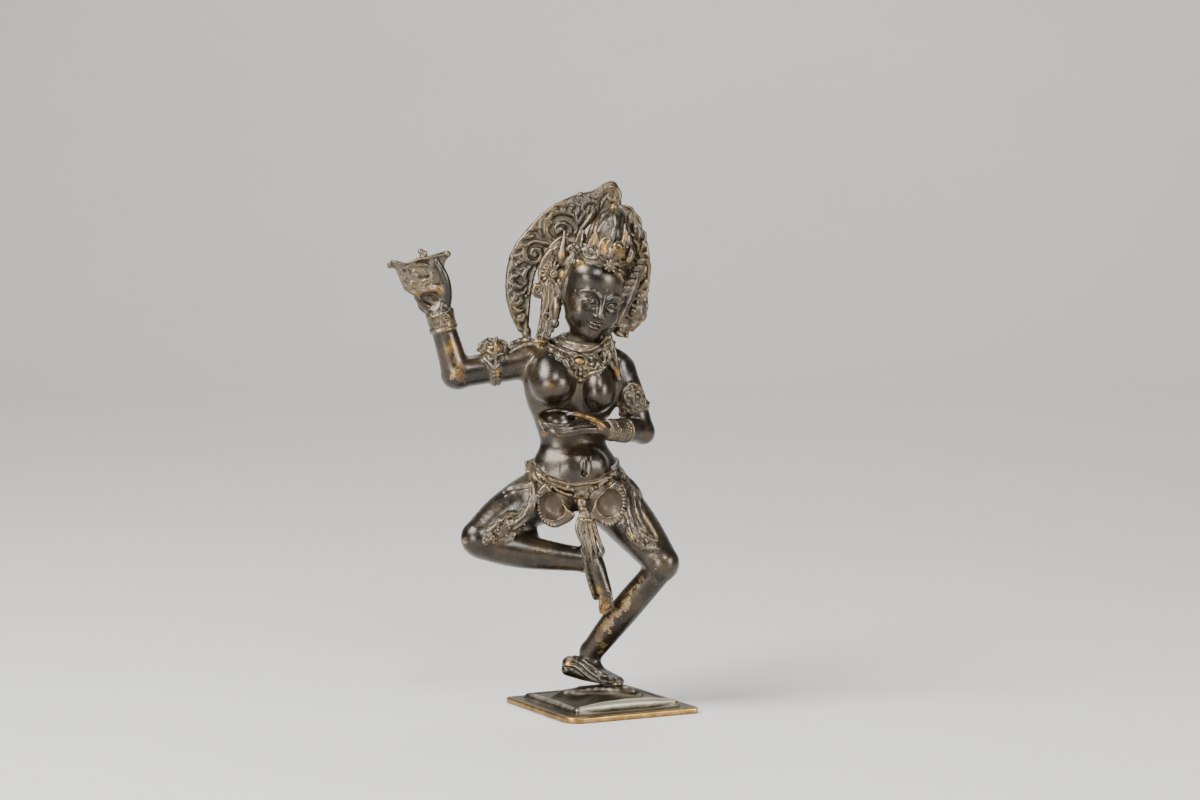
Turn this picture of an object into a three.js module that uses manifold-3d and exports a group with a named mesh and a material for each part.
// A dancing Vajravarahi: a small bronze with its aureole cast on, and its stepped square plinth.
// Millimetres, +Z up, the plinth's front to -Y, the origin at the middle of the plinth's underside.
import * as THREE from 'three';
import { mergeVertices } from 'three/addons/utils/BufferGeometryUtils.js';
import Module from 'manifold-3d';

const wasm = await Module();
wasm.setup();

// Driving dimensions of the plinth
const PLINTH = {
  side: 59, corner: 1.6, frontCorner: 7, plate: 2.6,
  step: 46.6, stepTop: 4.6, top: 16, topHeight: 6.4,
  mound: { at: [-1.2, 2], half: [17.4, 7.2], height: 7.4, turn: 9 },
  rest: { at: [2.6, -1.4], half: [11.5, 5], height: 9.8 }, // the low lump that carries the foot
};
const GAP = 0.3; // between the soles and the plinth
const FIGURE_TURN = -27.3; // degrees, the figure's own frame against the plinth
const FOOT_TURN = -24; // degrees, the standing foot in the figure's frame
const FACES = 9400; // the most that the figure keeps

// The figure's own frame: x to its left hand, y to its back, z up.
const v = (x, y, z) => new THREE.Vector3(x, y, z);
const UP = v(0, 0, 1);
const TORSO_YAW = 18; // degrees, the chest turned to its left hand
const ACROSS = v(1, 0, 0).applyAxisAngle(UP, THREE.MathUtils.degToRad(TORSO_YAW));
const FRONT = v(0, -1, 0).applyAxisAngle(UP, THREE.MathUtils.degToRad(TORSO_YAW));

// Joints and landmarks of the body
const JOINT = {
  hipR: v(-20.5, 1, 89), kneeR: v(-49, -17, 72.3),
  calfR: v(-47.5, -16, 69.8), ankleR: v(-6.5, -12, 62.8),
  hipL: v(0.5, 4, 88.5), kneeL: v(24.6, -15, 61.8),
  calfL: v(24.2, -14.4, 60), ankleL: v(-4.4, 1.5, 22.6),
  shoulderR: v(-30, 0.5, 143.4), elbowR: v(-58, -4, 138),
  foreR: v(-58.6, -4.2, 137.6), wristR: v(-66, -7, 163.8),
  shoulderL: v(6.4, 5, 138), elbowL: v(16.2, 3, 114),
  foreL: v(16.2, 2.4, 113.8), wristL: v(2, -14, 115.8),
};

// Radii along each limb, from its first joint to its second, and how far its middle bows out
const LIMB = {
  thighR: { from: 'hipR', to: 'kneeR', radii: [11.5, 10.8, 9.8, 8.8, 7.4], bow: v(-1, 0, 1.6) },
  thighL: { from: 'hipL', to: 'kneeL', radii: [12, 10.8, 9.8, 8.4, 6.8], bow: v(0.6, 0, 0.4) },
  shinR: { from: 'calfR', to: 'ankleR', radii: [6.4, 7.1, 6.6, 5.6, 4.9], bow: v(0, 0, -0.6) },
  shinL: { from: 'calfL', to: 'ankleL', radii: [6, 7.4, 6.6, 5.5, 4.6], bow: v(0.4, 0, 0.6) },
  upperR: { from: 'shoulderR', to: 'elbowR', radii: [7.4, 7.1, 6.2, 6.2], bow: v(0, 0, -0.4) },
  foreR: { from: 'foreR', to: 'wristR', radii: [6.2, 5.9, 5.5, 5], bow: v(0, 0, 0) },
  upperL: { from: 'shoulderL', to: 'elbowL', radii: [7.2, 6.6, 5.6, 5.1], bow: v(0.8, 0, 0) },
  foreL: { from: 'foreL', to: 'wristL', radii: [5, 4.6, 4, 3.5], bow: v(0, 0, 0) },
};

// Torso sections from crotch to neck: x, y, z, half width, half depth
const TORSO = [
  [-8.8, 2.4, 82, 8, 7], [-10, 2.4, 88, 16, 11], [-10.6, 2.4, 95, 19.4, 13],
  [-11, 2, 102, 17.2, 11.5], [-11.6, 1.6, 109, 13.8, 9.6], [-12.6, 1.4, 117, 14.8, 9.6],
  [-13.4, 1.2, 126, 17.6, 10.6], [-13, 1.4, 135, 19.4, 11.2], [-11.6, 1.8, 142, 18.6, 9.6],
  [-9.4, 1.8, 148, 11, 7.4],
];
const BREAST = { radius: 9.3, places: [v(-19.8, -9.2, 134.2), v(-2.4, -5, 131)] };
const HEAD = { centre: v(-3.9, -1, 168.6), yaw: 21, nod: 12, lean: 13, width: 12.4, height: 16.6 };
const NECK = { from: v(-8, 1, 148), to: v(-4.6, 0.5, 160), radius: 5.9 };
const FINGER = 1.5; // radius at the root

// Aureole: a flat horseshoe behind the head, leaning with it
const AUREOLE = {
  centre: v(-6.3, 11, 180), yaw: 10, lean: 15, thick: 2.2, rim: 1.1,
  outer: [
    [-18.1, -33.4], [-23.8, -28.5], [-28.9, -20.2], [-31.6, -10], [-31.4, 0], [-27.5, 9.6],
    [-21.6, 19.4], [-12, 27.8], [-5.4, 31.4], [-1.4, 35.6], [1.8, 37.2], [5, 34.6], [7.6, 28.6],
    [13.4, 26.4], [20, 19.6], [24.8, 10.2], [27.5, -2], [26.6, -14], [20.6, -23.9],
  ],
  inner: [
    [13.4, -21.5], [16, -12], [15.4, 0], [11.4, 10], [4, 17.6], [-3.5, 17.4], [-8.6, 11],
    [-15.8, 4.6], [-20, -4], [-20.6, -14], [-18.6, -25], [-16.4, -32.4],
  ],
};

// A closed mesh with shared corners becomes a solid
function solid(geometry) {
  const bare = geometry.clone();
  bare.deleteAttribute('normal');
  bare.deleteAttribute('uv');
  const merged = mergeVertices(bare, 1e-4);
  return new wasm.Manifold(new wasm.Mesh({
    numProp: 3,
    vertProperties: new Float32Array(merged.attributes.position.array),
    triVerts: new Uint32Array(merged.index.array),
  }));
}

function join(solids) {
  return solids.reduce((whole, piece) => whole.add(piece));
}

// A round-ended loft along a smooth line. A station is x, y, z, half width along `side`, half depth.
function loft(stations, { side = ACROSS, sides = 10, rows = 10, cap = rows > 6 ? 2 : 1 } = {}) {
  const line = new THREE.CatmullRomCurve3(stations.map((s) => v(s[0], s[1], s[2])));
  const size = new THREE.CatmullRomCurve3(
    stations.map((s) => v(s[3], s[4] ?? s[3], 0)), false, 'catmullrom', 0.5);
  const shell = new THREE.SphereGeometry(1, sides, rows);
  const spot = shell.attributes.position;
  const capShare = cap / rows;
  for (let i = 0; i < spot.count; i++) {
    const row = Math.acos(THREE.MathUtils.clamp(spot.getY(i), -1, 1)) / Math.PI;
    const into = Math.min(row, 1 - row) / capShare;
    const bend = Math.max(0, 1 - into) * Math.PI / 2;
    const t = THREE.MathUtils.clamp((row - capShare) / (1 - 2 * capShare), 0, 1);
    const ring = Math.hypot(spot.getX(i), spot.getZ(i));
    const [c, s] = ring > 1e-6 ? [spot.getX(i) / ring, spot.getZ(i) / ring] : [0, 0];
    const tangent = line.getTangent(t);
    const e1 = side.clone().addScaledVector(tangent, -side.dot(tangent)).normalize();
    const e2 = tangent.clone().cross(e1);
    const half = size.getPoint(t);
    const push = Math.sin(bend) * Math.min(half.x, half.y) * (row < 0.5 ? -1 : 1);
    const grow = ring > 1e-6 ? Math.cos(bend) : 0;
    const p = line.getPoint(t).addScaledVector(tangent, push)
      .addScaledVector(e1, c * half.x * grow).addScaledVector(e2, s * half.y * grow);
    spot.setXYZ(i, p.x, p.y, p.z);
  }
  return solid(shell);
}

// A cord or tendril: points and one radius, or a radius at each end
function cord(points, radius, { tip = radius, sides = 4, rows = 7 } = {}) {
  const last = points.length - 1;
  const stations = points.map((p, i) => {
    const r = THREE.MathUtils.lerp(radius, tip, i / last);
    return [p.x, p.y, p.z, r, r];
  });
  return loft(stations, { side: v(0.3, 0.2, 0.93), sides, rows, cap: 1 });
}

function ball(centre, radii, { sides = 8, rows = 6, basis = new THREE.Matrix4() } = {}) {
  const [x, y, z] = Array.isArray(radii) ? radii : [radii, radii, radii];
  const shell = new THREE.SphereGeometry(1, sides, rows);
  shell.rotateX(Math.PI / 2);
  shell.scale(x, y, z);
  shell.applyMatrix4(basis);
  return solid(shell.translate(centre.x, centre.y, centre.z));
}

const bead = (centre, radius) => ball(centre, radius, { sides: 6, rows: 4 });

// Puts a flat geometry, drawn in x and y with its face to +z, at a place
function place(geometry, at, right, up) {
  const x = right.clone().normalize();
  const z = x.clone().cross(up).normalize();
  const y = z.clone().cross(x);
  return solid(geometry.applyMatrix4(new THREE.Matrix4().makeBasis(x, y, z).setPosition(at)));
}

function pressed(shape, depth, curveSegments = 3) {
  const geometry = new THREE.ExtrudeGeometry(shape, { depth, bevelEnabled: false, curveSegments });
  return geometry.translate(0, 0, -depth / 2);
}

// A ring about an axis, its section flattened or not
function hoop(centre, axis, radius, tube, { stretch = 1, sides = 4, around = 12 } = {}) {
  const turn = new THREE.Quaternion().setFromUnitVectors(UP, axis.clone().normalize());
  const ring = new THREE.TorusGeometry(radius, tube, sides, around);
  ring.scale(1, 1, stretch);
  return solid(ring.applyQuaternion(turn).translate(centre.x, centre.y, centre.z));
}

function leafShape(width, height) {
  const shape = new THREE.Shape();
  shape.moveTo(-0.32 * width, 0);
  shape.quadraticCurveTo(-0.8 * width, 0.5 * height, 0, height);
  shape.quadraticCurveTo(0.8 * width, 0.5 * height, 0.32 * width, 0);
  shape.closePath();
  return shape;
}

// A round tendril lying on a plane, wound from its eye outwards
function volute(eye, right, up, radius, { hand = 1, start = 0, thick = 1, turns = 1.3 } = {}) {
  const steps = 9;
  const points = Array.from({ length: steps + 1 }, (_, i) => {
    const angle = start + hand * turns * (i / steps) * 2 * Math.PI;
    const r = radius * (0.2 + 0.8 * i / steps);
    return eye.clone().addScaledVector(right, r * Math.cos(angle)).addScaledVector(up, r * Math.sin(angle));
  });
  return cord(points, thick, { tip: thick * 0.7, sides: 5, rows: 13 });
}

// Where a limb's middle and radius are at t
function along(limb, t) {
  const from = JOINT[limb.from];
  const to = JOINT[limb.to];
  const at = from.clone().lerp(to, t).addScaledVector(limb.bow, Math.sin(Math.PI * t));
  const place01 = t * (limb.radii.length - 1);
  const i = Math.min(Math.floor(place01), limb.radii.length - 2);
  return { at, radius: THREE.MathUtils.lerp(limb.radii[i], limb.radii[i + 1], place01 - i) };
}

function limbSolid(limb, sides = 14, rows = 10) {
  const count = limb.radii.length - 1;
  const stations = limb.radii.map((r, i) => {
    const { at } = along(limb, i / count);
    return [at.x, at.y, at.z, r, r];
  });
  return loft(stations, { side: v(0.2, -0.98, 0.1), sides, rows });
}

// The point on the front of a limb that has this x and z
function onLimb(limb, x, z, lift = 0) {
  const from = JOINT[limb.from];
  const to = JOINT[limb.to];
  const dx = to.x - from.x;
  const dz = to.z - from.z;
  const t = ((x - from.x) * dx + (z - from.z) * dz) / (dx * dx + dz * dz);
  const { at, radius } = along(limb, THREE.MathUtils.clamp(t, 0, 1));
  const off = Math.hypot(x - at.x, z - at.z);
  return v(x, at.y - Math.sqrt(Math.max(radius * radius - off * off, 1)) - lift, z);
}

// A point on the torso's skin: height, and degrees round from the front towards its left hand
const torsoLine = new THREE.CatmullRomCurve3(TORSO.map((s) => v(s[0], s[1], s[2])));
const torsoSize = new THREE.CatmullRomCurve3(
  TORSO.map((s) => v(s[3], s[4], 0)), false, 'catmullrom', 0.5);

function onTorso(z, degrees, lift = 0) {
  let t = 0.5;
  for (let i = 0; i < 20; i++) t += (z - torsoLine.getPoint(t).z) / 70;
  const at = torsoLine.getPoint(t);
  const half = torsoSize.getPoint(t);
  const turn = THREE.MathUtils.degToRad(degrees);
  return v(at.x, at.y, z)
    .addScaledVector(ACROSS, (half.x + lift) * Math.sin(turn))
    .addScaledVector(FRONT, (half.y + lift) * Math.cos(turn));
}

function body() {
  const parts = [loft(TORSO, { sides: 20, rows: 16 })];
  for (const centre of BREAST.places) {
    parts.push(ball(centre, BREAST.radius, { sides: 14, rows: 10 }));
  }
  const pelvis = v(-10.4, 2.4, 91);
  const belly = v(-11.2, -2, 99.4);
  parts.push(ball(belly, [13.4, 9, 8.6], { sides: 12, rows: 8 }));
  for (const half of [-1, 1]) {
    const rump = pelvis.clone().addScaledVector(ACROSS, 8 * half).addScaledVector(FRONT, -5.5);
    parts.push(ball(rump, [9.5, 9.5, 10]));
  }
  for (const limb of Object.values(LIMB)) parts.push(limbSolid(limb));
  const { from, to, radius } = NECK;
  parts.push(cord([from, from.clone().lerp(to, 0.5), to], radius, { sides: 9, rows: 4 }));
  return parts;
}

// The head's own axes: right to its left ear, up, and out of the face
function headAxes() {
  const rad = THREE.MathUtils.degToRad;
  const face = v(0, -1, 0).applyAxisAngle(UP, rad(HEAD.yaw));
  const side = v(1, 0, 0).applyAxisAngle(UP, rad(HEAD.yaw));
  const out = face.clone().applyAxisAngle(side, rad(HEAD.nod));
  const right = side.clone().applyAxisAngle(out, -rad(HEAD.lean));
  return { right, out, up: out.clone().cross(right) };
}
const head = headAxes();
const onHead = (x, y, z) => HEAD.centre.clone()
  .addScaledVector(head.right, x).addScaledVector(head.out, y).addScaledVector(head.up, z);
const headBasis = new THREE.Matrix4().makeBasis(head.right, head.out.clone().negate(), head.up);

function face() {
  const { width, height } = HEAD;
  const skull = { sides: 18, rows: 12, basis: headBasis };
  const small = { sides: 6, rows: 4, basis: headBasis };
  const parts = [
    ball(onHead(0, -1.2, 4), [width, 13.6, height - 3.6], skull),
    ball(onHead(0, 3, -5.6), [width * 0.82, 9.2, 10.6], { sides: 14, rows: 9, basis: headBasis }),
    ball(onHead(0, 9, -14), [3.2, 2.8, 2.4], small),
    cord([onHead(0, 12.2, 2.4), onHead(0, 13.4, -1.5), onHead(0, 14, -4.6)], 1.1,
      { tip: 1.9, sides: 5, rows: 5 }),
    ball(onHead(0, 12.2, -9.1), [3.1, 1.3, 0.9], small),
    ball(onHead(0, 11.7, -10.9), [2.4, 1.4, 1], small),
  ];
  for (const half of [-1, 1]) {
    const brow = [2, 4.6, 7.4].map((x, i) => onHead(x * half, [12, 11.2, 9.2][i], [3, 4.4, 3.4][i]));
    parts.push(cord(brow, 0.7, { tip: 0.4, rows: 5 }));
    parts.push(ball(onHead(4.7 * half, 10.3, -0.4), [2.7, 1.7, 1.3], small));
    parts.push(ball(onHead(width * half * 0.98, -1, -3), [1.4, 2.4, 5.2], small));
  }
  return parts;
}

// Hair drawn up into a tall knot of locks behind a crown of five leaves
function crown() {
  const parts = [];
  const bandHeight = 14.8;
  const crownTurn = 8;
  const bandRadius = 11;
  const turn = (degrees) => THREE.MathUtils.degToRad(degrees);
  parts.push(hoop(onHead(0, -0.6, bandHeight), head.up, bandRadius, 1.5, { around: 14 }));
  for (const degrees of [-72, -36, 0, 36, 72].map((a) => a + crownTurn)) {
    const out = head.out.clone().multiplyScalar(Math.cos(turn(degrees)))
      .addScaledVector(head.right, Math.sin(turn(degrees)));
    const side = head.right.clone().multiplyScalar(Math.cos(turn(degrees)))
      .addScaledVector(head.out, -Math.sin(turn(degrees)));
    const stem = onHead(0, -0.6, bandHeight).addScaledVector(out, bandRadius);
    const rise = head.up.clone().addScaledVector(out, -0.12).normalize();
    const leaf = leafShape(7, degrees === crownTurn ? 12 : 10);
    parts.push(place(pressed(leaf, 1.8), stem, side, rise));
    parts.push(bead(stem.clone().addScaledVector(head.up, 4.2).addScaledVector(out, 1.2), 2.4));
  }
  parts.push(bead(onHead(1, 11.2, bandHeight - 4), 2.4));
  const root = onHead(0, -2, 11);
  parts.push(loft([[root.x, root.y, root.z, 9.6], [1.4, 4.4, 190, 8.4], [2.4, 6, 197, 6.6],
    [3.2, 6.8, 202, 3.4]], { sides: 12, rows: 9 }));
  for (let i = 0; i < 7; i++) {
    const angle = turn(-96 + 32 * i);
    const out = FRONT.clone().multiplyScalar(Math.cos(angle)).addScaledVector(ACROSS, Math.sin(angle));
    const strand = [[0.8, 3, 187, 8.2], [2, 4.8, 193, 7.6], [2.8, 6, 198.6, 6], [3.6, 6.8, 203.6, 2.2]]
      .map(([x, y, z, r]) => v(x, y, z).addScaledVector(out, r));
    parts.push(cord(strand, 1.8, { tip: 1, sides: 5, rows: 7 }));
  }
  return parts;
}

// Rosette, ball, leaf and hair beside each temple, and the locks that hang to the shoulders
function temples() {
  const parts = [];
  const right = v(0.98, 0.2, 0);
  const rosette = v(-18.4, 1, 178.4);
  parts.push(ball(rosette, [6, 2.6, 5.6], { sides: 9, rows: 4 }));
  for (let i = 0; i < 5; i++) {
    const angle = THREE.MathUtils.degToRad(100 + 40 * i);
    const tip = rosette.clone().add(v(6.4 * Math.cos(angle), -0.6, 6 * Math.sin(angle)));
    parts.push(cord([rosette.clone().add(v(0, -1.8, 0)), tip], 0.9, { rows: 3 }));
  }
  parts.push(bead(v(-15.4, -3, 178), 2.9));
  parts.push(place(pressed(leafShape(5, 13), 2.4), v(-16.6, 0, 181.5), right, UP));
  parts.push(bead(v(-10.6, -6.4, 182.6), 2.3));
  parts.push(bead(v(-26, 2.4, 172), 2.5));
  parts.push(loft([[-20, 2.6, 182, 5.4, 3], [-22, 2.6, 172, 5, 3.2], [-21, 1.6, 162, 4, 2.6],
    [-23.4, 0, 154, 3.4, 2.2], [-25.4, -2, 147.4, 2.2, 1.6]], { sides: 7, rows: 8 }));
  parts.push(ball(v(-18.6, -0.8, 160.4), [2.4, 2.2, 3], { sides: 7, rows: 5 }));
  parts.push(loft([[13.2, 3, 181, 2.6, 2.6], [9.8, 1.4, 171.5, 3, 2.4], [6.6, 0.4, 163, 2.8, 2.4],
    [4.2, -1, 156, 2.7, 2.2], [3.6, -2.6, 150.6, 2.5, 2.1], [5, -3.4, 144.6, 2.2, 1.8],
    [6.4, -3.4, 138.4, 1.8, 1.5]], { sides: 8, rows: 13 }));
  return parts;
}

function necklace() {
  const parts = [];
  parts.push(hoop(v(-8, 0.4, 150.2), v(0.1, -0.12, 1), 8.4, 1.6, { around: 14 }));
  const arc = [-58, -34, -12, 12, 34, 58];
  parts.push(cord(arc.map((a) => onTorso(146.4 - 3 * Math.cos(a / 40), a, 0.4)), 1.4, { rows: 8 }));
  for (const a of [-34, -17, 0, 17, 34]) {
    parts.push(bead(onTorso(141.4 - 3.4 * Math.cos(a / 30), a, 1.4), a === 0 ? 2.7 : 1.6));
  }
  parts.push(bead(onTorso(134.6, 2, 1.2), 1.5));
  return parts;
}

// Arm rings with an upright leaf, and ribbed cuffs at the wrists
function armRings() {
  const parts = [];
  const rings = [
    { limb: LIMB.upperR, t: 0.5, grow: 1.2, leaf: 8.4, up: v(0.25, 0, 1) },
    { limb: LIMB.upperL, t: 0.66, grow: 1.1, leaf: 8.8, up: v(-0.45, -0.2, 1) },
  ];
  for (const { limb, t, grow, leaf, up } of rings) {
    const { at, radius } = along(limb, t);
    const axis = along(limb, 1).at.sub(along(limb, 0).at);
    parts.push(hoop(at, axis, radius + grow - 0.6, 1.4, { stretch: 1.2, around: 12 }));
    const out = v(0, -1, 0).multiplyScalar(radius + 0.2);
    const shift = limb === LIMB.upperR ? v(1.5, 0, 2) : v(0, 0, 1);
    parts.push(place(pressed(leafShape(8, leaf), 2), at.clone().add(out).add(shift), v(1, 0, 0), up));
  }
  parts.push(cuff(LIMB.foreR, 0.62, 1.02, 5.2, 6.6, 4));
  parts.push(cuff(LIMB.foreL, 0.52, 1, 4, 4.9, 3));
  return parts;
}

function cuff(limb, from, to, low, high, ribs) {
  const start = along(limb, from).at;
  const end = along(limb, to).at;
  const length = start.distanceTo(end);
  const profile = [new THREE.Vector2(0, 0)];
  for (let i = 0; i < ribs; i++) {
    const base = (i / ribs) * length;
    profile.push(new THREE.Vector2(low + 0.2, base));
    profile.push(new THREE.Vector2(THREE.MathUtils.lerp(high, high - 1, i / ribs), base + 0.5 * length / ribs));
  }
  profile.push(new THREE.Vector2(low, length), new THREE.Vector2(0, length));
  const geometry = new THREE.LatheGeometry(profile, 10);
  geometry.applyQuaternion(new THREE.Quaternion().setFromUnitVectors(
    v(0, 1, 0), end.clone().sub(start).normalize()));
  return solid(geometry.translate(start.x, start.y, start.z));
}

// Her right hand holds the curved chopper
function chopper() {
  const parts = [];
  const centre = v(-73, -9.4, 178);
  const blade = new THREE.Shape();
  blade.moveTo(-13, 5.2);
  blade.quadraticCurveTo(-12.4, 6.6, -10, 6.6);
  blade.quadraticCurveTo(-6.6, 6.4, -4.6, 5.4);
  blade.quadraticCurveTo(-1, 8.2, 10.6, 9.4);
  blade.quadraticCurveTo(12.6, 8.6, 12, 6.8);
  blade.lineTo(10, 5);
  blade.lineTo(9.6, -6);
  blade.quadraticCurveTo(3, -9.4, -3, -7.4);
  blade.quadraticCurveTo(-7.6, -4.6, -8.4, 1.4);
  blade.quadraticCurveTo(-10, 1.4, -11.4, 2.4);
  blade.closePath();
  parts.push(place(pressed(blade, 2.2, 4), centre, v(1, 0.1, 0), UP));
  parts.push(bead(centre.clone().add(v(0.3, 0, 9.4)), 1.9));
  parts.push(bead(centre.clone().add(v(0.3, 0, 11.4)), 1.2));
  const face = centre.clone().add(v(0, -1.3, 0));
  for (const [x, z, r, hand] of [[-4.4, -1.6, 2.6, 1], [2.2, 1.8, 2.8, -1]]) {
    const eye = face.clone().add(v(x, 0, z));
    parts.push(volute(eye, v(1, 0.1, 0), UP, r, { hand, thick: 0.8 }));
  }
  return parts;
}

function handR() {
  const palm = v(-66.4, -7.4, 167.6);
  const parts = [ball(palm, [5.2, 3.4, 5.6], { sides: 8, rows: 5 })];
  const finger = (points) => cord(points, FINGER + 0.15, { tip: FINGER - 0.3, sides: 5, rows: 6 });
  parts.push(finger([v(-63.6, -8.4, 169), v(-61.6, -9.6, 173.6), v(-63, -11.8, 178.4), v(-65.4, -12, 181.4)]));
  for (let i = 0; i < 3; i++) {
    const x = -65.4 - 2.4 * i;
    parts.push(finger([v(x, -6.4, 169.6), v(x + 0.4, -4.2, 174), v(x - 0.6, -6.6, 179 - i)]));
  }
  parts.push(finger([v(-68.6, -8, 165.6), v(-73, -9.6, 166), v(-76.4, -9.6, 169.4)]));
  return parts;
}

// Her left hand holds the skull cup before the breast
function cup() {
  const profile = [[0, 0], [3.4, 0.4], [6, 2.4], [7.4, 5.6], [7.7, 8], [6.7, 8.2], [6.3, 5.8], [4.6, 3],
    [2.4, 1.7], [0, 1.6]].map(([r, h]) => new THREE.Vector2(r, h));
  const geometry = new THREE.LatheGeometry(profile, 14);
  geometry.rotateX(Math.PI / 2);
  geometry.scale(1.5, 1, 1);
  geometry.rotateX(THREE.MathUtils.degToRad(22));
  geometry.rotateY(THREE.MathUtils.degToRad(-3));
  return solid(geometry.translate(-13.2, -17.4, 114));
}

function handL() {
  const parts = [ball(v(-0.6, -15.2, 116), [4.6, 4.2, 3.4], { sides: 8, rows: 5 })];
  const finger = (points) => cord(points, FINGER, { tip: FINGER - 0.3, sides: 5, rows: 6 });
  for (let i = 0; i < 4; i++) {
    const y = -21.8 + 2.5 * i;
    const z = 114.4 - 0.5 * i;
    parts.push(finger([v(-2, y + 2, z + 0.6), v(-9, y, z - 1.6), v(-16, y, z - 1.4), v(-21.6 + i, y, z + 1.6)]));
  }
  parts.push(finger([v(-0.6, -16.4, 118.4), v(-6.4, -14.4, 122.4), v(-12.8, -14, 124.2)]));
  return parts;
}

// A double belt slung low in front, a rosette on it, and what hangs from it
function belt() {
  const parts = [];
  for (const [drop, tube] of [[0, 1.4], [3.2, 1]]) {
    const ring = new THREE.TorusGeometry(1, 0.1, 4, 20);
    const spot = ring.attributes.position;
    for (let i = 0; i < spot.count; i++) {
      const angle = Math.atan2(spot.getY(i), spot.getX(i));
      const away = Math.hypot(spot.getX(i), spot.getY(i)) - 1;
      const degrees = THREE.MathUtils.radToDeg(angle) + 90;
      const sag = Math.cos(angle + Math.PI / 2);
      const z = 98.4 - 4.8 * sag - drop;
      const p = onTorso(z, degrees, 0.5 + 10 * away * tube);
      spot.setXYZ(i, p.x, p.y, p.z + 10 * spot.getZ(i) * tube);
    }
    parts.push(solid(ring));
  }
  const buckle = onTorso(91, 0, 1.6);
  parts.push(ball(buckle, [3.4, 2, 3.6], { sides: 7, rows: 4 }));
  for (const [x, z, limb] of [[-19.4, 84.6, LIMB.thighR], [1.8, 85, LIMB.thighL]]) {
    const at = onLimb(limb, x, z, 1.2);
    parts.push(ball(at, [7.6, 3.2, 7.6], { sides: 10, rows: 6 }));
    parts.push(hoop(at.clone().add(v(0, -1.6, 0)), v(0, 1, 0), 6.6, 1.2, { around: 12 }));
  }
  return parts;
}

function sashes() {
  const parts = [];
  parts.push(loft([[-7.2, -12.5, 90, 2.6, 1.8], [-6.4, -14, 83, 2.4, 1.7], [-5.6, -15.4, 76, 4.6, 2],
    [-4.2, -16.4, 68, 4.6, 2.2], [-3, -17, 60.5, 3.4, 1.8]], { side: v(1, 0, 0), sides: 8, rows: 10 }));
  for (const x of [-2.2, 0.6]) {
    parts.push(cord([v(-6.6 + x * 0.4, -15.6, 84), v(-5.4 + x, -17.4, 76), v(-4 + x, -18.4, 68),
      v(-2.8 + x * 0.8, -18.6, 61)], 0.8, { rows: 8 }));
  }
  const right = [[-26.4, 92], [-27.6, 85.6], [-31.6, 80], [-38, 76.6], [-44, 73]];
  const left = [[9.6, 90.6], [12.8, 82.6], [16.4, 75.4], [21.4, 68.6]];
  for (const [limb, route, dx, dz] of [[LIMB.thighR, right, -1.4, 1.6], [LIMB.thighL, left, 1.9, 1]]) {
    for (const k of [0, 1]) {
      const points = route.map(([x, z]) => onLimb(limb, x + k * dx, z + k * dz, 0.2));
      parts.push(cord(points, 1.15, { rows: 7 }));
    }
    const [x, z] = route[route.length - 1];
    parts.push(ball(onLimb(limb, x, z, 0.2), [3.6, 1.6, 2.8], { sides: 6, rows: 4 }));
  }
  for (const [limb, t, axis] of [[LIMB.thighR, 0.34, v(-1, -0.2, -0.35)], [LIMB.thighL, 0.2, v(0.5, -0.3, -0.9)]]) {
    const { at, radius } = along(limb, t);
    parts.push(hoop(at, axis, radius - 0.2, 1, { around: 12 }));
  }
  return parts;
}

function feet() {
  const parts = [];
  const sole = PLINTH.rest.height + GAP;
  const turn = THREE.MathUtils.degToRad(FOOT_TURN);
  const ahead = v(1, 0, 0).applyAxisAngle(UP, turn);
  const aside = v(0, 1, 0).applyAxisAngle(UP, turn);
  parts.push(loft([[-12.8, 4.2, sole + 6.2, 4, 4.2], [-7.4, 1.6, sole + 5.4, 4, 4.4],
    [-1.2, -1.2, sole + 3.7, 4.3, 3.5], [4, -3.4, sole + 2.2, 4.5, 2.1], [6.4, -4.4, sole + 1.6, 3.8, 1.5]],
  { side: aside, sides: 12, rows: 10 }));
  parts.push(loft([[-4.4, 1.5, 23.6, 4.5], [-3.6, 0.8, 19, 4.4], [-0.6, -0.8, 15.4, 3.6]],
    { sides: 10, rows: 6 }));
  for (let i = 0; i < 5; i++) {
    const root = v(5.4, -4, sole + 1.6).addScaledVector(aside, 1.75 * (i - 2));
    const tip = root.clone().addScaledVector(ahead, 3.8 - 0.6 * i).setZ(sole + 1.1);
    parts.push(cord([root, tip], 1.2, { tip: 1.05, sides: 5, rows: 4 }));
  }
  const { at, radius } = along(LIMB.shinL, 0.98);
  parts.push(hoop(at, v(0.4, -0.2, 1), radius + 0.2, 1, { around: 12 }));
  parts.push(loft([[-6.4, -12.4, 62.4, 4.9, 4.6], [-3.2, -13.4, 55.6, 4.7, 3.8],
    [-0.9, -13.8, 48.6, 4.6, 2.7], [0.9, -13.8, 44.6, 3.6, 2]], { side: v(1, 0, 0.3), sides: 9, rows: 7 }));
  for (let i = 0; i < 5; i++) {
    const x = -2 + 1.55 * i;
    parts.push(cord([v(x, -14.2, 46.4 - 0.3 * i), v(x + 0.8, -14.2, 41.6 + Math.abs(i - 2) * 0.5)], 1.1,
      { tip: 0.9, rows: 3 }));
  }
  parts.push(hoop(v(-6, -12.4, 60.6), v(0.4, -0.1, -1), 4.7, 1, { around: 12 }));
  return parts;
}

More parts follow.
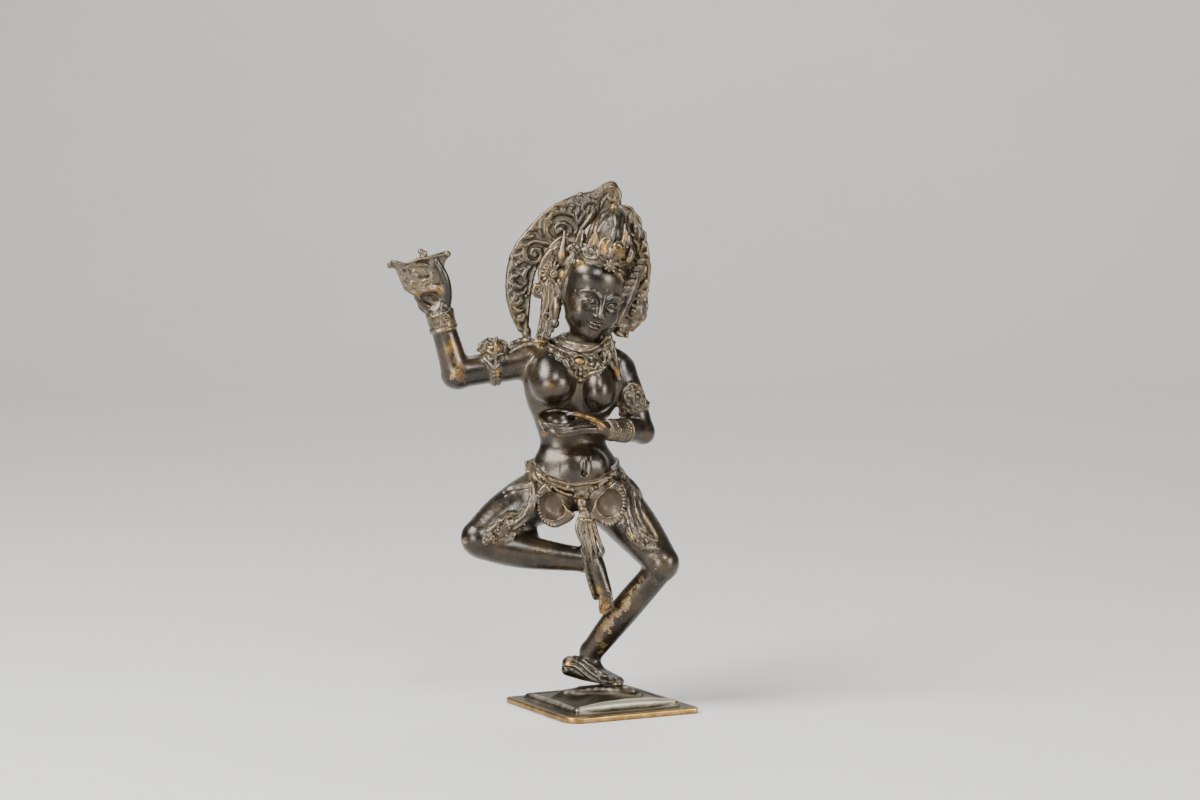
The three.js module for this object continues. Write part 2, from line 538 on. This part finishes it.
function aureole() {
  const rad = THREE.MathUtils.degToRad;
  const across = v(1, 0, 0).applyAxisAngle(UP, rad(AUREOLE.yaw));
  const out = v(0, -1, 0).applyAxisAngle(UP, rad(AUREOLE.yaw));
  const right = across.clone().applyAxisAngle(out, rad(AUREOLE.lean) * -1).normalize();
  const up = UP.clone().applyAxisAngle(out, rad(AUREOLE.lean) * -1);
  const at = (x, y, rise = 0) => AUREOLE.centre.clone()
    .addScaledVector(right, x).addScaledVector(up, y).addScaledVector(out, rise);
  const points = (list) => list.map(([x, y]) => new THREE.Vector2(x, y));
  const plate = new THREE.Shape();
  plate.moveTo(...AUREOLE.outer[0]);
  plate.splineThru(points(AUREOLE.outer.slice(1)));
  plate.lineTo(...AUREOLE.inner[0]);
  plate.splineThru(points(AUREOLE.inner.slice(1)));
  plate.closePath();
  const parts = [place(pressed(plate, AUREOLE.thick, 2), at(0, 0), right, up)];
  const border = new THREE.Shape();
  border.moveTo(...AUREOLE.outer[0]);
  border.splineThru(points(AUREOLE.outer.slice(1)));
  const within = AUREOLE.outer.map(([x, y]) => [x * 0.92, y * 0.94 + 0.6]).reverse();
  border.lineTo(...within[0]);
  border.splineThru(points(within.slice(1)));
  border.closePath();
  parts.push(place(pressed(border, AUREOLE.thick + AUREOLE.rim, 1), at(0, 0, AUREOLE.rim / 2), right, up));
  const scrolls = [
    [-14.2, 13, 5.4, 1, 40], [-22.6, 1.6, 4.6, 1, 20], [-4.8, 23.6, 4, 1, 40], [-25.4, -9, 3.2, -1, 90],
    [-23.4, -20, 2.6, 1, 90], [21, -12.6, 4, -1, 120], [20.4, 5, 4.2, -1, 120], [13.4, 18.6, 3.8, -1, 140],
  ];
  for (const [x, y, r, hand, start] of scrolls) {
    const eye = at(x, y, AUREOLE.thick / 2);
    parts.push(volute(eye, right, up, r, { hand, start: rad(start), thick: 1.2 }));
  }
  const finial = [[-4, 30.4], [-0.6, 34.4], [2.4, 35], [4, 32], [2.2, 30]];
  parts.push(cord(finial.map(([x, y]) => at(x, y, 1)), 1.3, { rows: 8 }));
  parts.push(cord([at(2.4, 22.4, -0.4), v(3.2, 7, 201)], 2.6, { sides: 7, rows: 5 }));
  parts.push(cord([at(-13.4, 3.4, -0.2), v(-17.6, 3.4, 181)], 2.6, { sides: 7, rows: 5 }));
  parts.push(cord([at(-17.2, -31, 0), v(-30.4, 2, 148)], 1.8, { sides: 6, rows: 5 }));
  parts.push(cord([at(16.6, -8, 0), v(10.4, 2, 173)], 2.2, { sides: 6, rows: 5 }));
  return parts;
}

// Plate, rolled step and sloping shoulders, all one rounded square, its front left corner worn
// rounder; on it a low mound and the lump under the foot
function plinth() {
  const { side, corner, frontCorner, plate, step, stepTop, top, topHeight, mound, rest } = PLINTH;
  const profile = [
    [0, 0], [side, 0], [side, plate], [step - 0.4, plate], [step + 0.6, plate + 1], [step - 0.8, stepTop],
    [step - 2.8, stepTop], [step - 4, stepTop - 0.6], [top, topHeight], [0, topHeight],
  ];
  const perCorner = 4;
  const count = 4 * perCorner;
  const geometry = new THREE.LatheGeometry(profile.map(([w, h]) => new THREE.Vector2(w / 2, h)), count);
  const spot = geometry.attributes.position;
  for (let i = 0; i < spot.count; i++) {
    const around = Math.floor(i / profile.length) % count;
    const [width, height] = profile[i % profile.length];
    const quarter = Math.floor(around / perCorner);
    const angle = Math.PI / 2 * (quarter + (around % perCorner) / (perCorner - 1));
    const round = (quarter === 2 ? frontCorner : corner) * (width / side) ** 2;
    const inset = width / 2 - round;
    const diagonal = Math.PI / 2 * quarter + Math.PI / 4;
    spot.setXYZ(i, Math.SQRT2 * inset * Math.cos(diagonal) + round * Math.cos(angle),
      Math.SQRT2 * inset * Math.sin(diagonal) + round * Math.sin(angle), height);
  }
  return solid(geometry).add(hillock(mound, mound.turn, 16)).add(hillock(rest, FOOT_TURN, 14));
}

// A low flat-topped oval rise on the plinth, placed in the figure's frame
function hillock({ at, half, height }, turn, sides) {
  const foot = PLINTH.topHeight - 2;
  const rise = new THREE.CylinderGeometry(0.9, 1.15, height - foot, sides, 1);
  rise.rotateX(Math.PI / 2);
  rise.scale(half[0], half[1], 1);
  rise.rotateZ(THREE.MathUtils.degToRad(turn));
  rise.translate(at[0], at[1], (height + foot) / 2);
  return solid(rise.rotateZ(THREE.MathUtils.degToRad(FIGURE_TURN)));
}

// Joined solids leave many short edges. The cheapest ones are drawn together, by the squared
// distance to the faces they bound, until no more than `most` faces stay. The surface stays closed.
function lighten({ vertProperties, triVerts }, most) {
  const points = Array.from({ length: vertProperties.length / 3 }, (_, i) => v(
    vertProperties[3 * i], vertProperties[3 * i + 1], vertProperties[3 * i + 2]));
  const faces = Array.from({ length: triVerts.length / 3 }, (_, i) => Array.from(
    triVerts.slice(3 * i, 3 * i + 3)));
  const touching = points.map(() => new Set());
  const errors = points.map(() => new Float64Array(10));
  const normalOf = (a, b, c) => b.clone().sub(a).cross(c.clone().sub(a));
  faces.forEach((face, i) => {
    const normal = normalOf(...face.map((k) => points[k]));
    const area = normal.length();
    normal.divideScalar(area || 1);
    const plane = [normal.x, normal.y, normal.z, -normal.dot(points[face[0]])];
    for (const k of face) {
      touching[k].add(i);
      let n = 0;
      for (let a = 0; a < 4; a++) for (let b = a; b < 4; b++) errors[k][n++] += area * plane[a] * plane[b];
    }
  });
  const costAt = (q, p) => q[0] * p.x * p.x + 2 * q[1] * p.x * p.y + 2 * q[2] * p.x * p.z + 2 * q[3] * p.x
    + q[4] * p.y * p.y + 2 * q[5] * p.y * p.z + 2 * q[6] * p.y + q[7] * p.z * p.z + 2 * q[8] * p.z + q[9];
  const around = (k) => new Set([...touching[k]].flatMap((i) => faces[i]).filter((other) => other !== k));
  const keepsFacing = (k, other, spot) => [...touching[k]].every((i) => {
    if (faces[i].includes(other)) return true;
    const before = normalOf(...faces[i].map((n) => points[n]));
    const after = normalOf(...faces[i].map((n) => (n === k ? spot : points[n])));
    return after.length() > 1e-3 && after.dot(before) > 0.4 * after.length() * before.length();
  });
  let count = faces.length;
  while (count > most) {
    const edges = [];
    points.forEach((point, a) => {
      for (const b of around(a)) {
        if (b < a) continue;
        const q = errors[a].map((value, n) => value + errors[b][n]);
        const spots = [point, points[b], point.clone().lerp(points[b], 0.5)];
        const costs = spots.map((spot) => costAt(q, spot));
        const best = costs.indexOf(Math.min(...costs));
        edges.push({ a, b, q, spot: spots[best].clone(), cost: costs[best] + 1e-3 * point.distanceToSquared(points[b]) });
      }
    });
    edges.sort((one, two) => one.cost - two.cost);
    const settled = new Set();
    let drawn = 0;
    for (const { a, b, q, spot } of edges.slice(0, Math.ceil(edges.length / 5))) {
      if (count <= most) break;
      if (settled.has(a) || settled.has(b)) continue;
      const near = around(a);
      const shared = [...around(b)].filter((k) => near.has(k));
      if (shared.length !== 2 || !keepsFacing(a, b, spot) || !keepsFacing(b, a, spot)) continue;
      for (const k of [a, b, ...near, ...around(b)]) settled.add(k);
      for (const i of [...touching[b]]) {
        if (faces[i].includes(a)) {
          for (const k of faces[i]) touching[k].delete(i);
          faces[i] = null;
          count -= 1;
        } else {
          faces[i] = faces[i].map((k) => (k === b ? a : k));
          touching[a].add(i);
        }
      }
      touching[b].clear();
      points[a].copy(spot);
      errors[a] = q;
      drawn += 1;
    }
    if (drawn === 0) break;
  }
  const geometry = new THREE.BufferGeometry().setFromPoints(points);
  geometry.setIndex(faces.filter(Boolean).flat());
  return mergeVertices(geometry.toNonIndexed());
}

function mesh(name, whole, colour, roughness, { turn = 0, most = Infinity } = {}) {
  const geometry = lighten(whole.getMesh(), most);
  geometry.computeVertexNormals();
  const material = new THREE.MeshStandardMaterial({ color: colour, roughness, metalness: 1 });
  const piece = new THREE.Mesh(geometry, material);
  piece.name = name;
  piece.rotation.z = THREE.MathUtils.degToRad(turn);
  return piece;
}

const figure = join([
  ...body(), ...face(), ...crown(), ...temples(), ...necklace(), ...armRings(), ...chopper(),
  ...handR(), cup(), ...handL(), ...belt(), ...sashes(), ...feet(), ...aureole(),
]);

const group = new THREE.Group();
group.add(mesh('figure', figure, 0x4a3826, 0.38, { turn: FIGURE_TURN, most: FACES }));
group.add(mesh('plinth', plinth(), 0x55452e, 0.45));
export default group;
